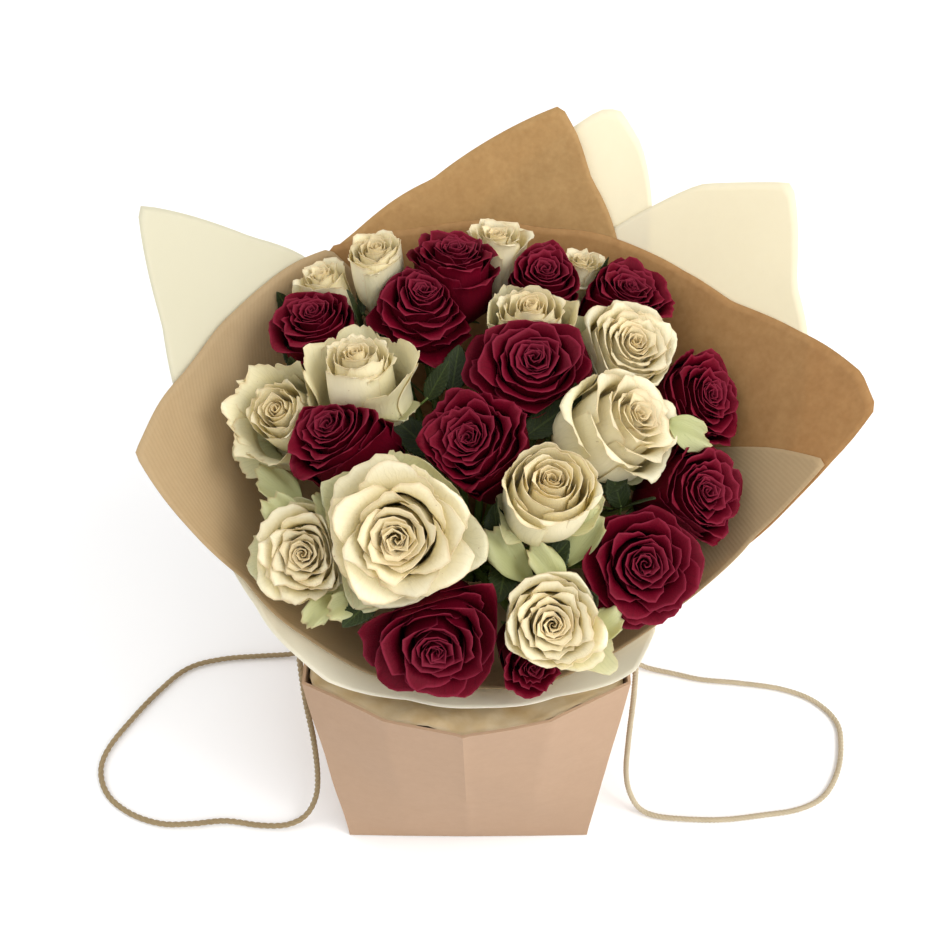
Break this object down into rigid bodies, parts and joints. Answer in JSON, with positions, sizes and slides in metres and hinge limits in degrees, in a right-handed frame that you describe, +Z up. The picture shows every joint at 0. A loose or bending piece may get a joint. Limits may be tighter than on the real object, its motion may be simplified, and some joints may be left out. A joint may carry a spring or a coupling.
{
  "type": "wrapped rose bouquet in a gift bag",
  "caption": "Hand-tied bouquet of red and cream roses, wrapped in kraft and cream paper, standing in a water pouch in a kraft gift bag with rope handles.",
  "frame": {"origin": "middle of the gift bag's underside, on the surface it stands on", "axes": "+Z up, -Y to the front, where the flowers lean, +X to the right of someone looking at the front"},
  "size_m": [0.5271, 0.2928, 0.3912],
  "materials": {
    "red": "satin",
    "cream": "satin",
    "stem": "satin",
    "kraft": "matte",
    "cream_paper": "matte",
    "bag": "matte",
    "film": "gloss",
    "water": "polished",
    "twine": "matte",
    "rope": "matte"
  },
  "bodies": {
    "root": {"cream_01_bloom": "cream", "cream_02_bloom": "cream", "cream_03_bloom": "cream", "cream_04_bloom": "cream", "cream_05_bloom": "cream", "cream_05_stem": "stem", "cream_06_bloom": "cream", "cream_06_stem": "stem", "cream_07_bloom": "cream", "cream_07_stem": "stem", "cream_08_bloom": "cream", "cream_08_stem": "stem", "cream_09_bloom": "cream", "cream_09_stem": "stem", "cream_10_bloom": "cream", "cream_10_stem": "stem", "cream_11_bloom": "cream", "cream_11_stem": "stem", "cream_12_bloom": "cream", "cream_12_stem": "stem", "cream_13_and_red_13_stems": "stem", "cream_13_bloom": "cream", "cream_back": "cream_paper", "cream_left": "cream_paper", "cream_right": "cream_paper", "gift_bag": "bag", "kraft_back": "kraft", "kraft_front": "kraft", "kraft_right": "kraft", "outer_tie": "twine", "red_01_and_cream_02_stems": "stem", "red_01_bloom": "red", "red_02_bloom": "red", "red_02_stem": "stem", "red_03_and_cream_01_stems": "stem", "red_03_bloom": "red", "red_04_and_cream_03_stems": "stem", "red_04_bloom": "red", "red_05_and_cream_04_stems": "stem", "red_05_bloom": "red", "red_06_bloom": "red", "red_06_stem": "stem", "red_07_bloom": "red", "red_07_stem": "stem", "red_08_bloom": "red", "red_08_stem": "stem", "red_09_bloom": "red", "red_09_stem": "stem", "red_10_bloom": "red", "red_10_stem": "stem", "red_11_bloom": "red", "red_11_stem": "stem", "red_12_bloom": "red", "red_12_stem": "stem", "red_13_bloom": "red", "rope_handle_left": "rope", "rope_handle_right": "rope", "stem_twine": "twine", "water": "water", "water_pouch": "film"}
  },
  "joints": []
}
